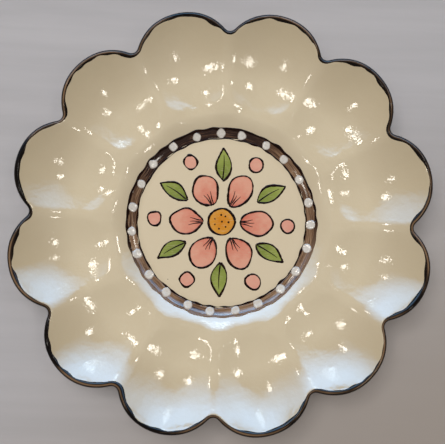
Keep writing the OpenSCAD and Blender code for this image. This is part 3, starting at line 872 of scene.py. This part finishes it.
def line_material():
    m = Nodes("brushed_line", IOR=GLAZE_IOR, Specular_IOR_Level=0.1)
    p = m.place()
    load = m.noise(p, 0.09, 4.0, 0.6)
    grain = m.noise(p, 1.1, 4.0, 0.6)
    tone = m.weighed(load, 0.6, grain, 0.4)
    colour = m.ramp(tone, (0.35, linear(18, 7, 5)), (0.6, linear(36, 19, 13)), (0.8, linear(80, 52, 38)))
    # The band's outer line is lighter along the near side: partly a thin brush, partly a painted sheen
    near = m.ramp(m.dot(p, NEAR_SIDE), (0.1, 0.0), (0.5, 0.9))
    thin = m.math("MULTIPLY", near, m.math("GREATER_THAN", m.radius(p), BAND_MID_R))
    m.link(m.mix(thin, colour, linear(132, 106, 86)), "Base Color")
    m.link(m.ramp(grain, (0.3, 0.07), (0.7, 0.16)), "Roughness")
    m.bump(grain, 0.15, 0.0001)
    return m.material


def dot_material():
    m = Nodes("white_slip", IOR=GLAZE_IOR)
    p = m.place()
    edge, tone = m.attribute("edge"), m.attribute("tone")
    mottle = m.noise(p, 0.8, 4.0, 0.6)
    colour = m.ramp(mottle, (0.3, linear(205, 198, 190)), (0.7, linear(228, 224, 219)))
    colour = m.mix(m.math("MULTIPLY", tone, 0.35), colour, linear(196, 186, 176))
    colour = m.mix(m.ramp(edge, (0.0, 0.75), (0.28, 0.0)), colour, linear(150, 134, 120))
    m.link(colour, "Base Color")
    m.link(m.ramp(mottle, (0.3, 0.07), (0.7, 0.15)), "Roughness")
    m.bump(mottle, 0.2, 0.0002)
    return m.material


def wash_material(name, deep, pale, rim, start, end):
    """A watery brushed colour: deep near the flower's middle, paler outside, uneven at its edge."""
    m = Nodes(name, IOR=GLAZE_IOR, Specular_IOR_Level=0.06)
    p = m.place()
    edge, tone, reach = m.attribute("edge"), m.attribute("tone"), m.attribute("reach")
    flow = m.noise(p, 0.16, 4.0, 0.6)
    brush = m.noise(m.stretched(p, (0.25, 1.2, 1.0)), 1.0, 4.0, 0.6)
    flowing = m.math("MULTIPLY", m.math("SUBTRACT", flow, 0.5), 1.1)
    share = m.math("ADD", m.span(reach, start, end), flowing)
    share = m.math("ADD", share, m.math("MULTIPLY", m.math("SUBTRACT", tone, 0.5), 0.3), clamp=True)
    colour = m.mix(share, linear(*deep), linear(*pale))
    thin = m.ramp(brush, (0.52, 0.0), (0.78, 0.4))
    colour = m.mix(thin, colour, CREAM)
    pooled = m.ramp(m.math("ADD", edge, m.math("MULTIPLY", flow, 0.12)), (0.06, 0.55), (0.2, 0.0))
    m.link(m.mix(pooled, colour, linear(*rim)), "Base Color")
    m.link(m.ramp(flow, (0.3, 0.06), (0.7, 0.14)), "Roughness")
    m.bump(m.math("ADD", flow, brush), 0.15, 0.0002)
    return m.material


def table_material():
    m = Nodes("pale_table", Roughness=0.7, Specular_IOR_Level=0.15)
    p = m.place()
    grain = m.noise(m.stretched(p, (0.004, 0.05, 0.05)), 1.0, 4.0, 0.6)
    colour = m.ramp(grain, (0.3, linear(176, 173, 176)), (0.7, linear(186, 183, 186)))
    # Painted shade: the table top turns darker and warmer towards the near right
    near = m.span(m.dot(p, (0.55, -0.83, 0.0)), -20.0, 220.0, "SMOOTHSTEP")
    m.link(m.mix(near, colour, linear(163, 153, 146)), "Base Color")
    return m.material


# The pieces, each with its material and the nodes it shows
def dress(piece, material, slot, *nodes):
    piece.data.materials.clear()
    piece.data.materials.append(material)
    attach(piece, "root")
    if nodes:
        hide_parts(*nodes)


# The band and its two lines: how far their borders lie inside or outside the cove's, and their lift
BAND_IN, BAND_OUT, BAND_LIFT = 0.7, 0.6, 0.14
INNER_IN, INNER_OUT, OUTER_IN, OUTER_OUT = 0.1, 1.1, 1.5, 0.3
# Seeds, waves of the borders and points across
BAND_HAND, INNER_HAND, OUTER_HAND = (21, 0.22, 9), (31, 0.4, 6), (41, 0.45, 6)

line = line_material()
dress(make_body(), glaze_material(), "glaze_ivory", "platter_body")
dress(make_rim(), rim_material(), "rim_brown", "rim_band")
band = make_strip("band_brush", FLOOR_R + BAND_IN, COVE_R - BAND_OUT, BAND_LIFT, *BAND_HAND)
dress(band, band_material(), "band_bronze", "medallion_band")
inner = make_strip("inner_stroke", FLOOR_R - INNER_IN, FLOOR_R + INNER_OUT, STROKE_LIFT, *INNER_HAND)
dress(inner, line, "line_brown", "band_inner_line")
outer = make_strip("outer_stroke", COVE_R - OUTER_IN, COVE_R + OUTER_OUT, STROKE_LIFT, *OUTER_HAND)
dress(outer, line, "line_brown", "band_outer_line")
dress(make_dots(), dot_material(), "dot_white", "band_dots")

# Each wash: name, slot, colours near the middle, outside and at its edge, and where the first two lie
WASHES = {
    "flower_eye": ("orange_wash", "eye_orange", (206, 132, 40), (214, 152, 62), (168, 96, 30), 2, 10),
    "petals": ("salmon_wash", "petal_salmon", (208, 112, 92), (222, 160, 138), (190, 96, 78), 10, 34),
    "leaves": ("olive_wash", "leaf_green", (112, 126, 56), (152, 162, 84), (94, 104, 48), 26, 54),
    "buds": ("pink_wash", "bud_pink", (224, 170, 150), (214, 140, 124), (202, 128, 110), -1, 2),
}
flower = make_flower()
for key, (name, slot, *look) in WASHES.items():
    dress(flower[key], wash_material(name, *look), slot, key)
for key in ("eye_outline", "petal_outlines", "leaf_outlines", "bud_outlines"):
    dress(flower[key], line, "line_brown", key)
dress(flower["eye_stipple"], line, "line_brown")

# Table
TABLE_SIZE = 6.0
bpy.ops.mesh.primitive_plane_add(size=TABLE_SIZE, location=(0, 0, 0))
table = bpy.context.active_object
table.name = "table"
table.data.materials.append(table_material())

# Light: a dim room with a broad cool window that the gloss mirrors, a soft key behind, and four warm panels
ROOM_COLOUR, ROOM_LEVEL = (1.0, 0.98, 0.94, 1), 0.16
WINDOW_COLOUR, WINDOW_LEVEL, WINDOW_WAY = (0.29, 0.6, 1.0, 1), 11.0, (-0.05, 0.999, 0)
# The window's borders, each from dark to light: upper and lower by the direction's height, sides by its way
WINDOW_TOP, WINDOW_FOOT, WINDOW_SIDES, WINDOW_SOFTNESS = (0.85, 0.6), (0.42, 0.5), (0.35, 0.95), 0.7
scene = bpy.context.scene
world = bpy.data.worlds.new("room")
scene.world = world
world.use_nodes = True
sky = Tree(world.node_tree)
room = sky.tree.nodes["Background"]
room.inputs["Color"].default_value = ROOM_COLOUR
room.inputs["Strength"].default_value = ROOM_LEVEL
way = sky.add("ShaderNodeTexCoord").outputs["Generated"]
up = sky.add("ShaderNodeSeparateXYZ", {0: way}).outputs["Z"]
glow = sky.math("POWER", sky.span(up, *WINDOW_TOP), WINDOW_SOFTNESS)
glow = sky.math("MULTIPLY", glow, sky.span(up, *WINDOW_FOOT))
level_way = sky.add("ShaderNodeVectorMath", {0: sky.flat(way)}, operation="NORMALIZE").outputs[0]
glow = sky.math("MULTIPLY", glow, sky.span(sky.dot(level_way, WINDOW_WAY), *WINDOW_SIDES))
mirrored = sky.add("ShaderNodeLightPath").outputs["Is Glossy Ray"]
glow = sky.math("MULTIPLY", sky.math("MULTIPLY", glow, mirrored), WINDOW_LEVEL)
window = sky.add("ShaderNodeBackground", {"Color": WINDOW_COLOUR, "Strength": glow})
both = sky.add("ShaderNodeAddShader", {0: room.outputs[0], 1: window.outputs[0]})
sky.tree.links.new(both.outputs[0], sky.tree.nodes["World Output"].inputs["Surface"])


LAMP_AIM = Vector((0, 0, 0.02))


def lamp(name, place, size, radiance, colour):
    """A rectangular lamp that faces the platter."""
    data = bpy.data.lights.new(name, "AREA")
    data.shape = "RECTANGLE"
    data.size, data.size_y = size
    data.color = colour
    data.energy = radiance * math.pi * size[0] * size[1]
    obj = bpy.data.objects.new(name, data)
    scene.collection.objects.link(obj)
    obj.location = place
    obj.rotation_euler = (LAMP_AIM - Vector(place)).to_track_quat("-Z", "Y").to_euler()
    return obj


NEUTRAL, COOL, WARM = (1.0, 1.0, 0.99), (0.78, 0.93, 1.0), (1.0, 0.95, 0.86)
KEY_PLACE, KEY_SIZE, KEY_RADIANCE = (-0.3, 0.38, 1.7), (1.2, 1.2), 4.6
PANE_SIZE, PANE_RADIANCE = (0.045, 0.03), 8.0
PANES = (-0.025, 0.45, 0.52), (0.035, 0.46, 0.5), (0.0, 0.46, 0.45)
PANEL_SIZE, PANEL_RADIANCE = (0.085, 0.11), 17.0
PANELS = {
    "panel_right_front": (0.423, -0.277, 0.997),
    "panel_right_back": (0.411, 0.178, 1.025),
    "panel_left_front": (-0.441, -0.151, 1.017),
    "panel_left_back": (-0.406, 0.343, 0.983),
}
soft_key = lamp("soft_key", KEY_PLACE, KEY_SIZE, KEY_RADIANCE, NEUTRAL)
soft_key.visible_glossy = False
for k, place in enumerate(PANES):
    lamp("window_pane_%d" % k, place, PANE_SIZE, PANE_RADIANCE, COOL)
for name, place in PANELS.items():
    lamp(name, place, PANEL_SIZE, PANEL_RADIANCE, WARM)

# Camera, above the platter and a little towards its near side
TILT_X, TILT_Y, ROLL, DISTANCE = math.radians(-3.833), math.radians(0.594), math.radians(-2.494), 0.3926
FOCAL_PX, CENTRE_PX, FRAME_PX, SENSOR_W = 527.9, (221.38, 222.71), (445, 444), 36.0
turn = Matrix.Rotation(TILT_Y, 3, "Y") @ Matrix.Rotation(TILT_X, 3, "X") @ Matrix.Rotation(ROLL, 3, "Z")
pose = turn.transposed().to_4x4()
pose.translation = turn.transposed() @ Vector((0, 0, DISTANCE))
camera = bpy.data.objects.new("camera", bpy.data.cameras.new("camera"))
scene.collection.objects.link(camera)
camera.matrix_world = pose
camera.data.sensor_fit = "HORIZONTAL"
camera.data.sensor_width = SENSOR_W
camera.data.lens = SENSOR_W * FOCAL_PX / FRAME_PX[0]
camera.data.shift_x = (FRAME_PX[0] / 2 - CENTRE_PX[0]) / FRAME_PX[0]
camera.data.shift_y = (CENTRE_PX[1] - FRAME_PX[1] / 2) / FRAME_PX[0]
camera.data.clip_start = 0.01
scene.camera = camera
scene.view_settings.view_transform = "Standard"
